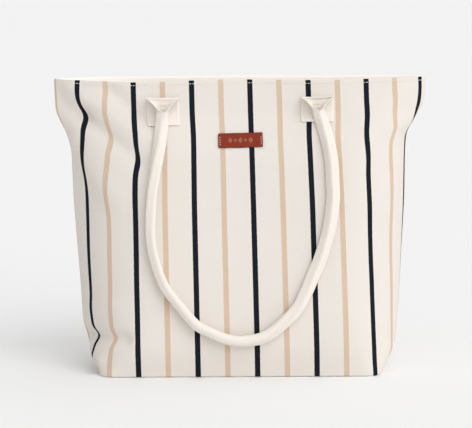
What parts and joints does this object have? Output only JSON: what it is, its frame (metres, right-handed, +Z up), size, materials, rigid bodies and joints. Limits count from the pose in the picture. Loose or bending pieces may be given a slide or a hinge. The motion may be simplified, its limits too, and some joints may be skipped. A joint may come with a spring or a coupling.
{
  "type": "tote bag",
  "caption": "Boxed-corner canvas tote bag with vertical stripes, an open mouth, rolled webbing handles that swing up, and a leather label.",
  "frame": {"origin": "on the floor under the middle of the base", "axes": "+Z up from the base to the mouth, +X along the bag's width to the right seen from the labelled face, +Y through its depth towards the back, so the labelled face looks along -Y"},
  "size_m": [0.4796, 0.193, 0.38],
  "materials": {
    "striped_canvas": "matt plain-weave cotton canvas, off-white with narrow navy and tan stripes",
    "plain_canvas": "matt plain-weave cotton canvas, off-white",
    "seam_tape": "matt cotton binding tape",
    "webbing": "matt cotton webbing, warm off-white",
    "filler_cord": "soft twisted cotton cord",
    "thread": "off-white sewing thread",
    "label_leather": "red-brown leather, satin, fine grain"
  },
  "bodies": {
    "bag": {"front_panel": "striped_canvas", "back_panel": "striped_canvas", "base_panel": "striped_canvas", "front_facing": "plain_canvas", "back_facing": "plain_canvas", "left_side_seam_tape": "seam_tape", "right_side_seam_tape": "seam_tape", "front_base_seam_tape": "seam_tape", "back_base_seam_tape": "seam_tape", "left_base_seam_tape": "seam_tape", "right_base_seam_tape": "seam_tape", "front_left_handle_end": "webbing", "front_right_handle_end": "webbing", "back_left_handle_end": "webbing", "back_right_handle_end": "webbing", "front_left_box_stitch": "thread", "front_right_box_stitch": "thread", "back_left_box_stitch": "thread", "back_right_box_stitch": "thread", "front_rim_stitch": "thread", "back_rim_stitch": "thread", "leather_label": "label_leather", "label_stitch_left": "thread", "label_stitch_right": "thread"},
    "front_handle": {"front_handle": "webbing", "front_handle_cord": "filler_cord", "front_handle_seam_stitch": "thread"},
    "back_handle": {"back_handle": "webbing", "back_handle_cord": "filler_cord", "back_handle_seam_stitch": "thread"}
  },
  "joints": [
    {"name": "front_handle_swing", "type": "hinge", "parent": "bag", "child": "front_handle", "pos_m": [0, -0.0491, 0.3565], "axis": [-1, 0, 0], "range_deg": [0, 168]},
    {"name": "back_handle_swing", "type": "hinge", "parent": "bag", "child": "back_handle", "pos_m": [0, 0.0491, 0.3565], "axis": [1, 0, 0], "range_deg": [0, 168]}
  ]
}
